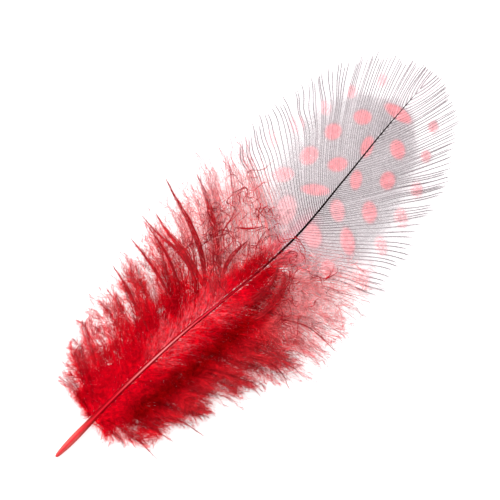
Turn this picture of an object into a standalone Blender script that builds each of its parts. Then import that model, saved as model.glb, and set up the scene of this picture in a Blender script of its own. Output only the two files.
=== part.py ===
"""A guinea fowl feather, dyed red, lying on a table with its hollow side down.

The feather grew as one piece, so it is one solid. A bare quill tapers into the shaft. The lower half of the
shaft carries soft down, which hangs together in locks. The upper half carries the spotted vane, whose barbs
part into small groups at its edge.

+X runs from the quill's end to the tip of the vane, +Y is the feather's left seen from above, +Z is up and
the table is at Z = 0. Sizes are in millimetres, and MM turns them into metres.
"""

import math
import random

import bmesh
import bpy
import numpy as np

MM = 0.001
LENGTH = 97.5  # from the quill's end to the outermost barb tips
MIDDLE = -1.52  # sideways from the line that the shaft bends about to the middle of the whole feather
SHAFT_LENGTH = 94.5
SHAFT_SIDES = 8
SHAFT_STEP = 4.5  # between the shaft's rings

# Stations along the feather, each a distance from the quill's end and the value there
SHAFT_SIDEWAYS = [
    (0, 0.5), (22, 0.2), (32, -0.4), (42, -1.6), (52, -2.7), (58, -2.95), (72, -2.05), (82, -1.15), (95, -0.4)
]
SHAFT_HEIGHT = [(0, 0.4), (15, 2.1), (35, 3.7), (52, 4.0), (70, 3.2), (85, 1.7), (95, 0.7)]
SHAFT_RADIUS = [(0, 0.34), (2, 0.56), (12, 0.6), (25, 0.5), (45, 0.37), (60, 0.28), (75, 0.22), (95, 0.13)]

# Each barb or lock leaves the shaft at its start angle and turns to its end angle, in degrees from the shaft.
# A barb of the vane bows on the way, through its middle angle. The stations are distances of its root from the
# quill's end.
VANE = {
    "left": {
        "start_angle": [
            (52, 82), (58, 76), (62, 66), (66, 51), (70, 42), (74, 37), (78, 33), (82, 28), (86, 21), (90, 14), (94.5, 3)
        ],
        "middle_angle": [
            (52, 70), (58, 62), (62, 45), (66, 35), (70, 30), (74, 26), (78, 21), (82, 16), (86, 11), (90, 7), (94.5, 1)
        ],
        "end_angle": [
            (52, 69), (58, 67), (62, 70), (66, 52), (70, 27), (74, 18), (78, 13), (82, 10), (86, 6), (90, 4), (94.5, 0)
        ],
        "length": [
            (52, 20), (58, 21.8), (62, 22.8), (66, 24), (70, 23.8), (74, 22), (78, 18.6), (82, 15.1), (86, 11.35),
            (90, 7.55), (94.5, 3)
        ],
    },
    "right": {
        "start_angle": [
            (52, 70), (58, 62), (62, 50), (66, 45), (70, 42), (74, 39), (78, 34), (82, 29), (86, 23), (90, 16), (94.5, 8)
        ],
        "middle_angle": [
            (52, 63), (58, 49), (62, 40), (66, 36), (70, 33), (74, 30), (78, 26), (82, 21), (86, 17), (90, 12), (94.5, 6)
        ],
        "end_angle": [
            (52, 65), (58, 56), (62, 48), (66, 40), (70, 30), (74, 24), (78, 20), (82, 15), (86, 12), (90, 9), (94.5, 4)
        ],
        "length": [
            (52, 19), (58, 20.5), (62, 22.4), (66, 22.6), (70, 21.8), (74, 20.5), (78, 18.2), (82, 14.7), (86, 11.05),
            (90, 7.55), (94.5, 3)
        ],
    },
}
DOWN = {
    "left": {
        "start_angle": [(9, 66), (12, 56), (16, 50), (24, 46), (37, 40), (42, 42), (48, 48), (56, 58)],
        "end_angle": [(9, 98), (16, 88), (24, 84), (32, 80), (37, 76), (42, 72), (48, 70), (56, 78)],
        "length": [(9, 8.6), (12, 12.6), (16, 15.6), (24, 18.4), (32, 22.6), (37, 25.8), (42, 25), (48, 23), (56, 21)],
    },
    "right": {
        "start_angle": [(9, 72), (12, 60), (16, 51), (22, 46), (36, 46), (43, 48), (56, 51)],
        "end_angle": [(9, 102), (14, 86), (22, 80), (36, 76), (43, 72), (50, 65), (56, 60)],
        "length": [(9, 7), (12, 10), (16, 13.6), (22, 17.4), (29, 21), (36, 22.6), (43, 22.8), (50, 21.4), (56, 20.3)],
    },
}
SIDES = {"left": 1, "right": -1}

# The vane: a thin blade on each side of the shaft, ribbed along its barbs
VANE_ROOTS = (53.0, 94.5)
VANE_GROUPS = 20
VANE_ROWS = 4
VANE_NOTCH = 0.13  # share of a barb's length by which the groups part at the edge
VANE_THICK = (0.32, 0.26)  # at the shaft and at the edge
VANE_RIB = 0.12  # from the bottom of a furrow to the top of a rib
VANE_DROOP = 3.3  # how far the vane's edge hangs below the shaft where the vane is widest
VANE_HALF_WIDTH = 18.0
VANE_CLEAR = 0.22  # the middle of the blade stays at least this far above the table
VANE_EASE = 0.05  # the larger, the more gently the blade meets that level

# The down: two layers of locks on each side. A lock's sizes are given as stations along it, from 0 to 1.
# A layer's bow is how far its locks arch up or sag, as a share of their root's height above the table.
LOCK_ROOTS = (9.6, 56.0)
LOCKS_PER_LAYER = 15
LOCK_SIDES = 6
LOCK_RINGS = 7
LOCK_WIDTH = [(0, 1.6), (0.25, 3.0), (0.6, 2.9), (0.85, 1.5), (1, 0.15)]
LOCK_THICK = [(0, 0.7), (0.25, 1.5), (0.6, 1.2), (0.85, 0.6), (1, 0.1)]
LAYERS = {
    "upper": {"root_drop": 0.1, "fall": 1.5, "bow": 0.3, "tip_height": 1.4, "shift": 0.0},
    "lower": {"root_drop": 0.7, "fall": 0.9, "bow": -0.25, "tip_height": 0.25, "shift": 0.5},
}
TABLE_CUT = 5.0  # depth of the block that trims what the table presses flat

SHARP_EDGE = math.radians(40)

DYED_RED = (0.55, 0.006, 0.016, 1)


def clear_scene():
    for thing in list(bpy.data.objects):
        bpy.data.objects.remove(thing)


def through(stations, at):
    """The smooth curve through the stations, read at one place or at many."""
    places, values = np.array(stations, float).T
    slopes = np.gradient(values, places)
    at = np.clip(at, places[0], places[-1])
    i = np.clip(np.searchsorted(places, at) - 1, 0, len(places) - 2)
    gap = places[i + 1] - places[i]
    t = (at - places[i]) / gap
    return (
        (1 + 2 * t) * (1 - t) ** 2 * values[i]
        + t * (1 - t) ** 2 * gap * slopes[i]
        + t * t * (3 - 2 * t) * values[i + 1]
        + t * t * (t - 1) * gap * slopes[i + 1]
    )


def shaft_point(along):
    return np.array([along, through(SHAFT_SIDEWAYS, along), through(SHAFT_HEIGHT, along)])


def shaft_heading(along):
    """The shaft's direction seen from above, as an angle from +X."""
    ahead, behind = shaft_point(along + 0.5), shaft_point(along - 0.5)
    return math.atan2(ahead[1] - behind[1], ahead[0] - behind[0])


def turning(shape, root, share):
    """The angle that a barb has turned out from the shaft, at shares of its length."""
    start, end = through(shape["start_angle"], root), through(shape["end_angle"], root)
    middle = through(shape["middle_angle"], root) if "middle_angle" in shape else (start + end) / 2
    bow = 4 * middle - 2 * (start + end)
    return np.radians(start + (end - start) * share + bow * share * (1 - share))


def barb_line(shape, side, root, reach, steps):
    """The way of a barb seen from above, from the shaft out, as steps + 1 points."""
    length = through(shape["length"], root) * reach
    share = (np.arange(steps) + 0.5) / steps * reach
    heading = shaft_heading(root) + SIDES[side] * turning(shape, root, share)
    moves = np.stack([np.cos(heading), np.sin(heading)], 1) * length / steps
    return np.vstack([shaft_point(root)[:2], shaft_point(root)[:2] + np.cumsum(moves, 0)])


def vane_height(x, y):
    """Height of the vane's middle surface, which droops from the shaft to its edges."""
    sideways = np.abs(y - through(SHAFT_SIDEWAYS, x)) / VANE_HALF_WIDTH
    height = through(SHAFT_HEIGHT, x) - VANE_DROOP * sideways**2
    # Where the droop would meet the table, the vane eases to a level just above it
    above = height - VANE_CLEAR
    return VANE_CLEAR + 0.5 * (above + np.sqrt(above**2 + VANE_EASE))


def new_object(name, points, faces):
    mesh = bpy.data.meshes.new(name)
    placed = (np.array(points) - (LENGTH / 2, MIDDLE, 0)) * MM
    mesh.from_pydata(placed.tolist(), [], faces)
    made = bpy.data.objects.new(name, mesh)
    bpy.context.scene.collection.objects.link(made)
    return made


def turn_outwards(mesh):
    shape = bmesh.new()
    shape.from_mesh(mesh)
    bmesh.ops.recalc_face_normals(shape, faces=shape.faces)
    shape.to_mesh(mesh)
    shape.free()


def tube(name, rings):
    """A closed solid through rings of points, each ring with the same count."""
    around = len(rings[0])
    faces = [tuple(range(around))[::-1]]
    for ring in range(len(rings) - 1):
        for i in range(around):
            a, b = ring * around + i, ring * around + (i + 1) % around
            faces.append((a, b, b + around, a + around))
    last = (len(rings) - 1) * around
    faces.append(tuple(range(last, last + around)))
    made = new_object(name, np.concatenate(rings), faces)
    turn_outwards(made.data)
    return made


def make_shaft():
    """The quill and the shaft: a round tube that tapers from the bare quill to the vane's tip."""
    turns = np.arange(SHAFT_SIDES) / SHAFT_SIDES * 2 * math.pi
    rings = []
    for along in np.append(0, np.linspace(2, SHAFT_LENGTH, round(SHAFT_LENGTH / SHAFT_STEP))):
        heading = shaft_heading(along)
        across = np.array([-math.sin(heading), math.cos(heading), 0])
        radius = through(SHAFT_RADIUS, along)
        ring = shaft_point(along) + radius * np.outer(np.cos(turns), across)
        ring[:, 2] += radius * np.sin(turns)
        rings.append(ring)
    return tube("shaft_form", rings)


def make_lock(name, side, layer, root, bend, reach):
    """One lock of down, a flattened tuft that tapers to a point."""
    shape = {key: list(stations) for key, stations in DOWN[side].items()}
    shape["end_angle"] = [(place, angle + bend) for place, angle in shape["end_angle"]]
    line = barb_line(shape, side, root, reach, LOCK_RINGS - 1)
    ways = np.gradient(line, axis=0)
    ways /= np.linalg.norm(ways, axis=1)[:, None]
    across = np.stack([-ways[:, 1], ways[:, 0]], 1)
    share = np.linspace(0, 1, LOCK_RINGS)
    hang = LAYERS[layer]
    high = shaft_point(root)[2] - hang["root_drop"]
    heights = high + (hang["tip_height"] - high) * share ** hang["fall"]
    heights += hang["bow"] * high * 4 * share * (1 - share)
    turns = (np.arange(LOCK_SIDES) + 0.5) / LOCK_SIDES * 2 * math.pi
    rings = []
    for i in range(LOCK_RINGS):
        width, thick = through(LOCK_WIDTH, share[i]) / 2, through(LOCK_THICK, share[i]) / 2
        ring = np.empty((LOCK_SIDES, 3))
        ring[:, :2] = line[i] + np.outer(np.cos(turns) * width, across[i])
        ring[:, 2] = heights[i] + np.sin(turns) * thick
        rings.append(ring)
    return tube(name, rings)


def make_locks():
    """Both layers of locks on both sides, the lower layer staggered between the upper one."""
    draw = random.Random(7)
    gap = (LOCK_ROOTS[1] - LOCK_ROOTS[0]) / LOCKS_PER_LAYER
    made = []
    for side in SIDES:
        for layer in LAYERS:
            for i in range(LOCKS_PER_LAYER):
                root = LOCK_ROOTS[0] + (i + LAYERS[layer]["shift"] + draw.uniform(-0.15, 0.15)) * gap
                bend, reach = draw.uniform(-9, 9), draw.uniform(0.88, 1.05)
                made.append(make_lock(f"lock_form_{side}_{layer}_{i}", side, layer, root, bend, reach))
    return made


def make_vane():
    """Both blades of the vane as one thin sheet with a top and an underside, toothed along its edge."""
    columns, rows = 2 * VANE_GROUPS + 1, 2 * VANE_ROWS + 1
    roots = np.linspace(*VANE_ROOTS, columns)
    plan = np.empty((columns, rows, 2))
    for column, root in enumerate(roots):
        reach = 1 - VANE_NOTCH * (column % 2 == 0)
        for side, step in (("left", -1), ("right", 1)):
            plan[column, VANE_ROWS::step] = barb_line(VANE[side], side, root, reach, VANE_ROWS)
    outwards = np.abs(np.arange(rows) - VANE_ROWS) / VANE_ROWS
    rib = np.where(np.arange(columns) % 2, 0.5, -0.5)[:, None] * VANE_RIB * np.minimum(1, 2 * outwards)
    middle = vane_height(plan[..., 0], plan[..., 1]) + rib
    half = (VANE_THICK[0] + (VANE_THICK[1] - VANE_THICK[0]) * outwards)[None, :] / 2
    top = np.concatenate([plan, (middle + half)[..., None]], 2).reshape(-1, 3)
    under = np.concatenate([plan, (middle - half)[..., None]], 2).reshape(-1, 3)
    shift = len(top)
    faces = []
    for c in range(columns - 1):
        for r in range(rows - 1):
            face = [c * rows + r, c * rows + r + 1, (c + 1) * rows + r + 1, (c + 1) * rows + r]
            faces.append(tuple(face))
            faces.append(tuple(i + shift for i in face[::-1]))
    rim = [c * rows for c in range(columns)]
    rim += [(columns - 1) * rows + r for r in range(1, rows)]
    rim += [c * rows + rows - 1 for c in range(columns - 2, -1, -1)]
    rim += list(range(rows - 2, 0, -1))
    for a, b in zip(rim, rim[1:] + rim[:1]):
        faces.append((a, b, b + shift, a + shift))
    made = new_object("feather", np.concatenate([top, under]), faces)
    turn_outwards(made.data)
    return made


def make_table_cutter():
    """The block under the table's surface, which trims the undermost locks flat."""
    half = LENGTH
    corners = [(x + LENGTH / 2, y, z) for x in (-half, half) for y in (-half, half) for z in (-TABLE_CUT, 0)]
    faces = [(0, 1, 3, 2), (4, 6, 7, 5), (0, 4, 5, 1), (2, 3, 7, 6), (0, 2, 6, 4), (1, 5, 7, 3)]
    made = new_object("table_cutter", corners, faces)
    turn_outwards(made.data)
    return made


def boolean(target, operation, name, operand):
    """Adds an exact Boolean. The operand is one object or a collection of them."""
    modifier = target.modifiers.new(name, "BOOLEAN")
    modifier.operation = operation
    modifier.solver = "EXACT"
    if isinstance(operand, bpy.types.Collection):
        modifier.operand_type = "COLLECTION"
        modifier.collection = operand
    else:
        modifier.object = operand
    return modifier


def keep_outer_shell(mesh):
    """Fills the small closed hollows between locks by leaving out every shell but the largest."""
    shape = bmesh.new()
    shape.from_mesh(mesh)
    unseen, shells = set(shape.verts), []
    while unseen:
        shell, edge = set(), [unseen.pop()]
        while edge:
            vert = edge.pop()
            shell.add(vert)
            near = {e.other_vert(vert) for e in vert.link_edges} & unseen
            unseen -= near
            edge.extend(near)
        shells.append(shell)
    largest = max(shells, key=len)
    extra = [v for shell in shells if shell is not largest for v in shell]
    bmesh.ops.delete(shape, geom=extra, context="VERTS")
    bmesh.ops.triangulate(shape, faces=shape.faces)
    shape.to_mesh(mesh)
    shape.free()


def fuse(feather, forms):
    """Joins the shaft and the locks to the vane, trims what the table presses flat, and applies both."""
    helpers = bpy.data.collections.new("forms")
    bpy.context.scene.collection.children.link(helpers)
    for form in forms:
        bpy.context.scene.collection.objects.unlink(form)
        helpers.objects.link(form)
        form.hide_render = True
        form.display_type = "WIRE"
    boolean(feather, "UNION", "shaft and locks", helpers).use_self = True
    cutter = make_table_cutter()
    cutter.hide_render = True
    cutter.display_type = "WIRE"
    boolean(feather, "DIFFERENCE", "pressed flat by the table", cutter)
    bpy.context.view_layer.update()
    fused = bpy.data.meshes.new_from_object(feather.evaluated_get(bpy.context.evaluated_depsgraph_get()))
    feather.modifiers.clear()
    feather.data = fused
    keep_outer_shell(feather.data)
    for helper in [*forms, cutter]:
        bpy.data.objects.remove(helper)
    bpy.data.collections.remove(helpers)


def dye(feather):
    finish = bpy.data.materials.new("dyed_feather")
    finish.use_nodes = True
    shader = finish.node_tree.nodes["Principled BSDF"]
    shader.inputs["Base Color"].default_value = DYED_RED
    shader.inputs["Roughness"].default_value = 0.75
    shader.inputs["Metallic"].default_value = 0.0
    feather.data.materials.clear()
    feather.data.materials.append(finish)
    feather.data.shade_smooth()
    feather.data.set_sharp_from_angle(angle=SHARP_EDGE)


def main():
    clear_scene()
    feather = make_vane()
    fuse(feather, [make_shaft(), *make_locks()])
    dye(feather)


main()
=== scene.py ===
"""A red-dyed guinea fowl feather, lying on a pale table with its hollow side down.

The shaft, the vane and the down are built strand by strand: a barb is a thin three-sided tube and a barbule
is a narrow ribbon. Lengths are in millimetres and turn into metres where a mesh is made. "Along" runs from
the quill's end to the tip, and "sideways" is positive to the feather's left, seen from above.
"""

import math
import random

import bpy
import numpy as np
from mathutils import Matrix


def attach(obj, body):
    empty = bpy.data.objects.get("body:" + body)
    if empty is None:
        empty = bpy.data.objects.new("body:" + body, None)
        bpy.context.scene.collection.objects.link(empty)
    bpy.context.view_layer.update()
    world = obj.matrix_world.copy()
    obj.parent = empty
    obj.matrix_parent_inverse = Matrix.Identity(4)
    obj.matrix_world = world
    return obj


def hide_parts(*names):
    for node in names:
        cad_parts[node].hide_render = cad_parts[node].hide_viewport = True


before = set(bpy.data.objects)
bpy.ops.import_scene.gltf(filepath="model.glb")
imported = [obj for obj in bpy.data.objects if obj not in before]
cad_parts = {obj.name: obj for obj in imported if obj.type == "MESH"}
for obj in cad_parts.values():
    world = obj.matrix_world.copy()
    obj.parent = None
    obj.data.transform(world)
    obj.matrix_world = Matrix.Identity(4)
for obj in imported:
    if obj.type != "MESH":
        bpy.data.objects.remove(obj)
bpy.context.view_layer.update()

MM = 0.001
LENGTH = 97.5
MIDDLE = -1.52  # sideways, of the solid's box
SHAFT_LENGTH = 94.5

# The feather's form, as stations along it and the value at each. The solid has nearly the same form. Its
# shaft is stouter, and the barbs at the vane's foot and tip and the down on the left differ a little
SHAFT_SIDEWAYS = [
    (0, 0.5), (22, 0.2), (32, -0.4), (42, -1.6), (52, -2.7), (58, -2.95), (72, -2.05), (82, -1.15), (95, -0.4)
]
SHAFT_HEIGHT = [(0, 0.4), (15, 2.1), (35, 3.7), (52, 4.0), (70, 3.2), (85, 1.7), (95, 0.7)]
SHAFT_RADIUS = [
    (0, 0.34), (2, 0.56), (12, 0.53), (25, 0.46), (38, 0.34), (46, 0.24), (58, 0.2), (70, 0.16),
    (82, 0.125), (92, 0.075)
]
VANE = {
    "left": {
        "start_angle": [
            (52, 76), (58, 69), (62, 62), (66, 51), (70, 42), (74, 37), (78, 33), (82, 30), (86, 29),
            (90, 28), (94.5, 6)
        ],
        "middle_angle": [
            (52, 70), (58, 62), (62, 45), (66, 35), (70, 30), (74, 26), (78, 21), (82, 16), (86, 12),
            (90, 9), (94.5, 2)
        ],
        "end_angle": [
            (52, 69), (58, 67), (62, 70), (66, 52), (70, 27), (74, 18), (78, 13), (82, 10), (86, 6),
            (90, 4), (94.5, 0)
        ],
        "length": [
            (52, 20), (58, 21.8), (62, 22.8), (66, 24), (70, 23.8), (74, 22), (78, 18.6), (82, 15.1),
            (86, 11.35), (90, 7.55), (94.5, 3)
        ],
    },
    "right": {
        "start_angle": [
            (52, 70), (58, 62), (62, 50), (66, 45), (70, 42), (74, 39), (78, 34), (82, 31), (86, 30),
            (90, 30), (94.5, 12)
        ],
        "middle_angle": [
            (52, 63), (58, 49), (62, 40), (66, 36), (70, 33), (74, 30), (78, 26), (82, 21), (86, 18),
            (90, 15), (94.5, 9)
        ],
        "end_angle": [
            (52, 65), (58, 56), (62, 48), (66, 40), (70, 30), (74, 24), (78, 20), (82, 15), (86, 12),
            (90, 9), (94.5, 4)
        ],
        "length": [
            (52, 19), (58, 20.5), (62, 22.4), (66, 22.6), (70, 21.8), (74, 20.5), (78, 18.2), (82, 14.7),
            (86, 11.05), (90, 7.55), (94.5, 3)
        ],
    },
}
DOWN = {
    "left": {
        "start_angle": [(9, 66), (12, 56), (16, 50), (24, 46), (37, 40), (42, 42), (48, 48), (56, 58)],
        "end_angle": [(9, 98), (16, 88), (24, 84), (32, 80), (37, 76), (42, 72), (48, 70), (56, 78)],
        "length": [
            (9, 8.8), (12, 13), (16, 16), (24, 18), (32, 21.8), (37, 25.6), (42, 25), (48, 23), (56, 21)
        ],
    },
    "right": {
        "start_angle": [(9, 72), (12, 60), (16, 51), (22, 46), (36, 46), (43, 48), (56, 51)],
        "end_angle": [(9, 102), (14, 86), (22, 80), (36, 76), (43, 72), (50, 65), (56, 60)],
        "length": [
            (9, 7), (12, 10), (16, 13.6), (22, 17.4), (29, 21), (36, 22.6), (43, 22.8), (50, 21.4), (56, 20.3)
        ],
    },
}
SIDES = {"left": 1, "right": -1}
UP = np.array([0, 0, 1.0])
VANE_DROOP = 3.3  # how far the vane's edges hang below the shaft
VANE_HALF_WIDTH = 18.0
VANE_CLEAR = 0.22  # the least height of the vane's middle surface
VANE_EASE = 0.05  # how softly it comes down to that
LOCK_SEED = 7
LOCK_ROOTS = (9.6, 56.0)
LOCKS_PER_LAYER = 15
LAYERS = {
    "upper": {"root_drop": 0.1, "fall": 1.5, "bow": 0.3, "tip_height": 1.4, "shift": 0.0},
    "lower": {"root_drop": 0.7, "fall": 0.9, "bow": -0.25, "tip_height": 0.25, "shift": 0.5},
}

# The vane's barbs and barbules
VANE_FROM = {"left": 54.9, "right": 53.2}
VANE_PITCH = [(52, 0.58), (60, 0.49), (66, 0.48), (72, 0.57), (78, 0.75), (84, 0.95), (90, 1.3), (94.5, 1.5)]
BARB_STEPS = 26
BARB_RADIUS = [(0, 0.1), (0.12, 0.08), (0.4, 0.067), (0.85, 0.077), (0.96, 0.067), (1, 0.04)]
BARBULES = 220  # along each side of a barb
GROUP_CHANCE = 0.27  # how often a barb starts a new small group
LEAN = {"left": 0.14, "right": 0.3}  # how far the barbs of a small group close up at the vane's edge
SWAY = {"left": 0.5, "right": 0.3}  # how far the barbs at the vane's foot sway
LOOSE_COVER = 0.45  # how far the barbules bridge the gap between barbs where the vane is loose
# How far from the shaft the barbules mesh into a film
FILM_EDGE = {
    "left": [
        (52, 5), (57, 7), (62, 9), (67, 11.5), (72, 13), (77, 12.6), (82, 10.6), (86, 6.8), (88, 3.9), (91, 1)
    ],
    "right": [
        (52, 8), (59, 10), (62, 11), (67, 11.5), (72, 11.8), (77, 10.3), (82, 8.4), (86, 6.0),
        (88, 3.6), (91, 1)
    ],
}

# Round markings: along, sideways, half length, half width, tilt in degrees from +X, strength
SPOTS = [
    (61.0, 1.6, 2.9, 1.9, 30, 0.35), (67.3, 0.4, 2.7, 1.1, -52, 0.85), (73.4, 0.7, 1.9, 1.35, -35, 1.0),
    (79.4, -0.9, 2.1, 1.15, 25, 1.0), (65.2, 6.5, 2.1, 1.4, -40, 0.6), (71.0, 5.5, 1.9, 1.6, 0, 0.75),
    (77.1, 5.4, 1.7, 1.5, 0, 1.0), (82.7, 3.4, 1.7, 1.45, -50, 1.0), (87.7, -0.7, 2.9, 1.2, -80, 1.0),
    (59.0, 7.5, 2.3, 1.5, 40, 0.4), (73.5, 11.0, 1.8, 1.4, 50, 0.3), (79.3, 9.5, 1.4, 1.2, 50, 0.32),
    (84.6, 8.2, 1.3, 1.1, 50, 0.38), (90.0, 5.5, 1.3, 1.0, 40, 0.22), (68.5, 12.4, 1.8, 1.2, 60, 0.18),
    (55.9, -5.5, 2.1, 1.05, -50, 1.0), (61.0, -5.0, 2.4, 1.7, 58, 0.7), (67.4, -5.0, 2.2, 1.4, 55, 0.65),
    (73.7, -3.6, 1.9, 1.15, 35, 0.95), (58.6, -11.3, 2.0, 1.4, 60, 0.62), (64.7, -10.2, 2.7, 1.35, 55, 0.85),
    (71.2, -9.4, 2.1, 1.45, 50, 0.9), (77.6, -7.8, 1.75, 1.45, 30, 1.0), (82.9, -5.2, 1.9, 1.4, 60, 1.0),
    (62.5, -16.5, 2.0, 1.3, 50, 0.3), (68.3, -15.2, 2.0, 1.2, 55, 0.5), (74.4, -14.3, 2.1, 1.3, 50, 0.45),
    (80.1, -12.7, 1.6, 1.2, 45, 0.55), (85.6, -9.7, 1.25, 1.0, 40, 0.6), (90.3, -6.9, 1.3, 1.0, 30, 0.6),
]

# The down. Its lighter and darker streaks are the mean of these waves, which start at these places
STREAK_WAVES = 2 * math.pi / np.array([0.7, 1.1, 1.7, 2.6, 4.3])
STREAK_STARTS = np.array([0.4, 2.1, 5.2, 3.3, 1.0])
BARBS_PER_LOCK = 8
LOOSE_BARBS = {"left": 90, "right": 120}
TUFT_BARBS = 14
GATHER = {"left": 0.7, "right": 0.4}  # how far the barbs of a lock close up at its tip, at most
DOWN_STEPS = 16
UNRULY = {"left": 1.6, "right": 1.2}  # how much wilder the down gets towards the vane
# The share of barbs and barbules that are kept, by where their barb roots
DOWN_DENSITY = {
    "left": [
        (9, 0.6), (12, 1), (29, 1), (34, 0.7), (38, 0.5), (42, 0.32), (45, 0.25), (48, 0.2), (52, 0.14),
        (56, 0.1)
    ],
    "right": [(9, 0.6), (12, 1), (36, 1), (42, 0.72), (46, 0.52), (50, 0.32), (56, 0.12)],
}
# How far right of the shaft the painted shade of the fold runs, and how wide it is
FOLD_SHADE = [(12, 5.2), (22, 5.6), (32, 6.3), (42, 5.8), (50, 4.7)]
FOLD_SHADE_WIDTH = [(12, 2.3), (34, 2.6), (48, 1.5)]
BARBULES_PER_BARB = {"upper": 150, "lower": 80}
BARBULE_ANGLE = [(0, 58), (0.5, 60), (0.85, 45), (1, 22)]
BARBULE_LENGTH = [(0, 1.8), (0.3, 2.6), (0.7, 2.4), (0.9, 1.7), (1, 1.0)]
BARBULE_WIDTH = 0.05

# The left side takes these seeds and the right side the next ones
SEEDS = {"vane": 11, "upper": 21, "lower": 31, "mat": 41, "hairs": 51, "curls": 61, "fill": 71}
# Swirls that neighbouring strands share: seed, and shortest and longest wave
TANGLES = {
    "locks": (4, 5, 12), "ripples": (5, 1.6, 4), "fuzz": (6, 1.3, 4.5), "mat": (7, 1.3, 4.5),
    "wisps": (8, 1.3, 4.5), "curls": (9, 1.3, 4.5), "vane": (14, 4.5, 12),
}
WAVES_PER_TANGLE = 14

# Matted barbs and single hairs that stand out: (along, sideways) from root to tip, half width, and share of
# bright red
SPIKES = {
    "left": [
        ([(39, 0), (44.5, 6.5), (47.2, 12), (48.8, 17.5), (50.4, 22.2)], 0.52, 0.3),
        ([(43, 0), (48.5, 7), (51.2, 11), (53.2, 14.5), (54.6, 18.2)], 0.62, 0.6),
        ([(37, 0), (41.2, 6), (42.2, 11), (41.9, 15), (42.3, 20.5)], 0.34, 0.4),
        ([(35, 0), (39, 8), (40.5, 12), (41.2, 15), (41.9, 19.2)], 0.18, 0.1),
        ([(27, 0), (29.5, 8), (31.2, 13), (32.2, 17.6)], 0.2, 0.4),
        ([(33, 0), (36.4, 9), (37.4, 14), (38, 18.7)], 0.2, 0.35),
        ([(40, 0), (42.6, 8), (43.2, 12), (43.5, 15), (44.4, 18.6)], 0.5, 0.8),
        ([(42.5, 0.6), (47, 2.6), (50, 2.9), (52.6, 2.7)], 0.35, 0.35),
        ([(48, 6.4), (51, 7.3), (53.5, 7.8), (55.5, 9)], 0.1, 0.2),
        ([(52, 6.6), (53.2, 5), (54.8, 3.4), (56.8, 2.2)], 0.18, 0.3),
    ],
    "right": [
        ([(40, -6), (44, -8), (48, -8.2), (51, -7.2), (53.4, -5.2)], 1.1, 0.5),
        ([(42, -3.5), (46, -5.6), (50, -5.5), (53, -4.4)], 0.9, 0.6),
        ([(12, -3), (12.4, -7), (12.7, -10), (12.5, -13.8)], 0.06, 0.3),
        ([(13, -3), (15.8, -8), (16.4, -10.5), (17, -13)], 0.05, 0.3),
        ([(15, -3), (19.3, -9), (20.8, -12), (21.2, -14.6), (21.7, -17)], 0.07, 0.1),
        ([(33, -6), (38.6, -14), (39.4, -18), (37.8, -22.4)], 0.05, 0.1),
        ([(42, -6), (48, -14), (49, -19), (48.8, -23.5)], 0.06, 0.1),
    ],
}
SPIKE_HAIRS = 34
FULL_SPIKE = 0.3  # the half width from which a spike has all its hairs
SPIKE_FUZZ = 16  # barbules on each hair
# Thick soft tufts: (along, sideways) from root to tip, and half width
TUFTS = {
    "left": [([(10, 1), (14.5, 7), (16, 10), (17.2, 13)], 1.4)],
    "right": [
        ([(31, -4), (36.5, -9), (38.8, -13), (40.2, -18.4)], 1.3),
        ([(27, -4), (31.5, -9), (33.5, -13), (34.8, -17)], 1.0),
        ([(20, -3), (23, -8), (24.2, -11), (25.2, -13.6)], 1.0),
    ],
}
# Single barbs that reach past the edge of the down: where they root, and how many
WISPS = {
    "left": [(8, 14), (20, 3), (30, 3), (35, 12), (39, 22), (44, 14), (48, 12), (52, 8)],
    "right": [(9, 6), (13, 4), (17, 5), (24, 4), (34, 9), (42, 12), (50, 12)],
}
WISP_FUZZ = 40  # barbules on each of those on the left that root beyond the next number
WISP_FUZZ_FROM = 32
# The pale haze where the down gives way to the vane, and the curls in it: how many, from and to along the
# feather, and from and to out from the shaft
HAZE = {"left": (9000, 42, 64, 1, 21), "right": (8500, 44, 62, 3, 19)}
CURLS = {"left": (190, 42, 60, 2, 14), "right": (70, 46, 57, 2, 11)}
CURL_STEPS = 14
MAT_BARBS = 9000
MAT_ROOTS = (9.5, 55)
MAT_WIDTH = 0.055
# The fill in the gaps of the down, given in the same way
FILL = {"left": (5000, 11, 45, 2.5, 7), "right": (11500, 11, 55.5, 2.5, 10)}
FILL_WIDTH = 0.065

# Colours as linear light
DARK_BARB = (0.07, 0.045, 0.053)
PALE_BARB = (0.2, 0.165, 0.18)
GREY_FILM = (0.5, 0.44, 0.465)
LOOSE_FILM = (0.68, 0.575, 0.61)
SMOOTH_BARB = (0.37, 0.32, 0.34)
MAUVE = (0.66, 0.24, 0.3)
SPOT_PINK = (0.93, 0.36, 0.39)
SPOT_PALE = (0.96, 0.62, 0.66)
BRIGHT_RED = (0.84, 0.0012, 0.016)
DEEP_RED = (0.42, 0.0001, 0.002)
SOFT_RED = (0.68, 0.03, 0.04)
PALE_RED = (0.9, 0.2, 0.24)
TIP_GREY = (0.5, 0.13, 0.16)
HAZE_RED = (0.95, 0.3, 0.31)
HAZE_PALE = (0.97, 0.68, 0.69)
CURL_DARK = (0.28, 0.006, 0.016)
SPIKE_DARK = (0.33, 0.004, 0.01)
SPIKE_TIP = (0.32, 0.09, 0.1)
WISP_TIP = {"left": (0.6, 0.26, 0.29), "right": (0.34, 0.13, 0.15)}
# The shaft's edges, and the painted highlight along its top, each from the quill up
QUILL_EDGE = (0.7, 0.1, 0.09)
LOW_EDGE = (0.3, 0.001, 0.005)
EDGE_IN_DOWN = (0.5, 0.002, 0.013)
DARK_EDGE = (0.09, 0.001, 0.004)
BLACK_EDGE = (0.006, 0.001, 0.002)
LOW_HIGHLIGHT = (0.74, 0.012, 0.03)
PALE_HIGHLIGHT = (0.95, 0.3, 0.31)
HIGHLIGHT_IN_DOWN = (0.74, 0.02, 0.05)

# The fibres' finish: roughness, unevenness of the dye, and shine
FINISHES = {"dyed_down": (0.8, 0.3, 0.02), "vane_fibre": (0.6, 0.12, 0.15), "shaft_horn": (0.5, 0.1, 0.05)}
GRAIN_SCALE = 1400

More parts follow.
